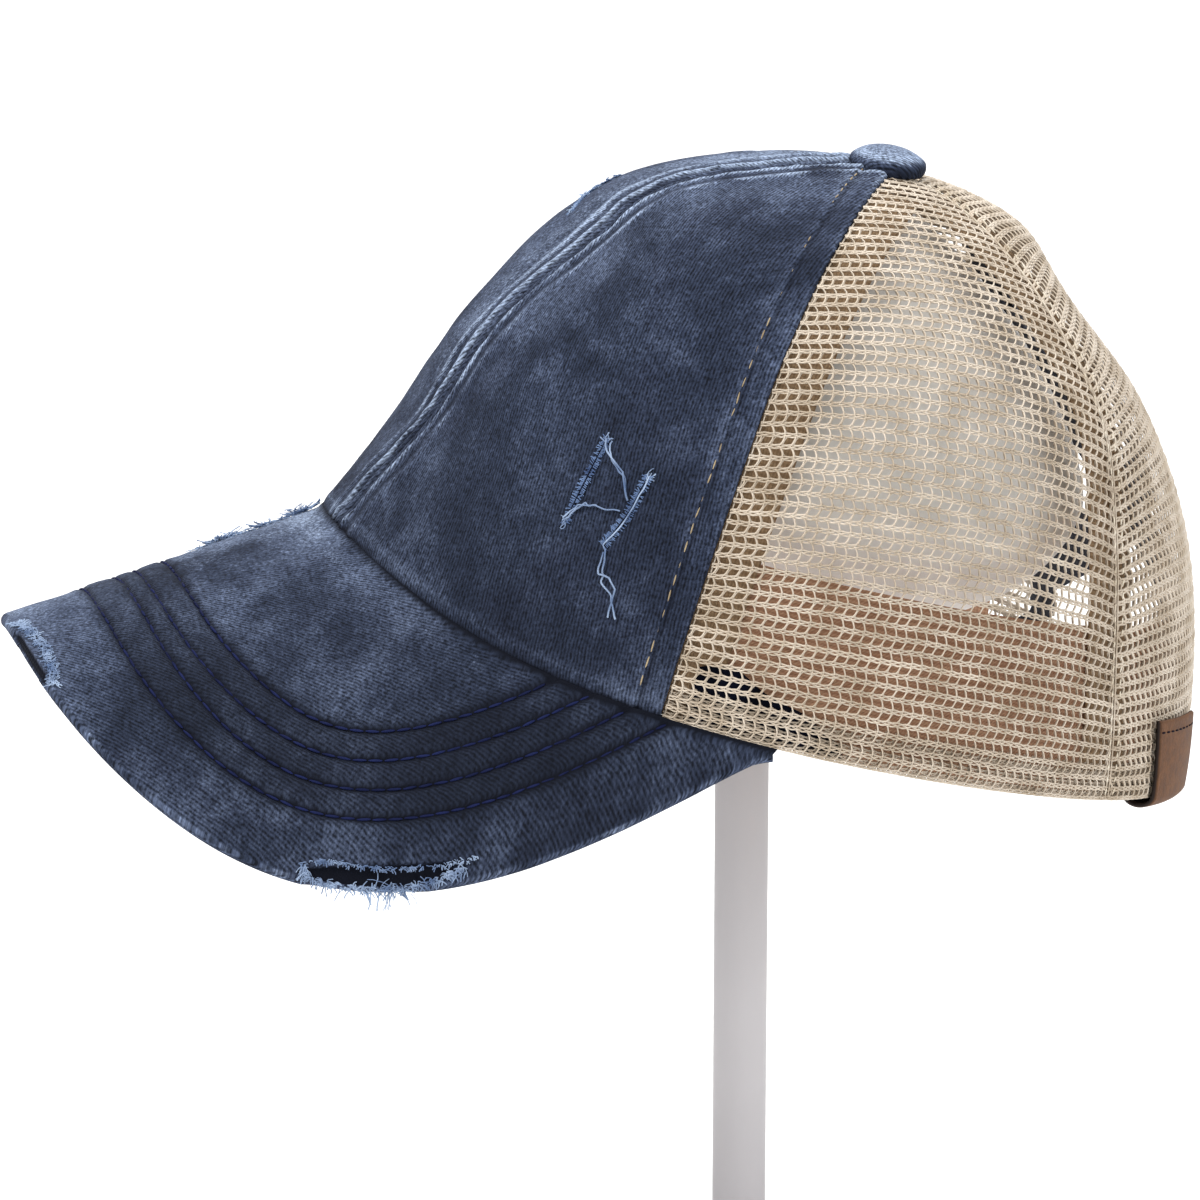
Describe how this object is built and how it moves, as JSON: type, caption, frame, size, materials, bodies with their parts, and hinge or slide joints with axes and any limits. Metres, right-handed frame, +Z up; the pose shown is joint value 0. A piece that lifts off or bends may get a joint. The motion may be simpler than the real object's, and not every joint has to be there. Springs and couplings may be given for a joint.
{
  "type": "ponytail baseball cap on a stand",
  "caption": "Washed-denim and mesh baseball cap with a curved frayed peak and a back opening for a ponytail, resting tipped back on a plain form, post and round base.",
  "frame": {"origin": "centre of the underside of the stand's round base, which is also under the post's axis", "axes": "+Z up, the peak points to -Y, and the wearer's left is towards +X"},
  "size_m": [0.1607, 0.2558, 0.2652],
  "materials": {
    "denim": "washed twill, worn pale on ridges and edges",
    "mesh": "open knitted mesh",
    "sweatband": "matt woven cotton",
    "seam_tape": "matt woven tape",
    "dark_elastic": "ribbed elastic",
    "leather": "smooth, slightly worn",
    "stand": "satin paint"
  },
  "bodies": {
    "root": {"front_panel_left": "denim", "front_panel_right": "denim", "mesh_side_left": "mesh", "mesh_side_right": "mesh", "mesh_back_left": "mesh", "mesh_back_right": "mesh", "peak": "denim", "top_button": "denim", "sweatband": "sweatband", "front_seam_tape_left": "seam_tape", "front_seam_tape_right": "seam_tape", "back_seam_tape_left": "seam_tape", "back_seam_tape_right": "seam_tape", "opening_binding_left": "dark_elastic", "opening_binding_right": "dark_elastic", "crossing_band_rising": "dark_elastic", "crossing_band_falling": "dark_elastic", "closing_strap": "dark_elastic", "leather_label": "leather", "stand_form": "stand", "stand_post": "stand", "stand_base": "stand"}
  },
  "joints": []
}
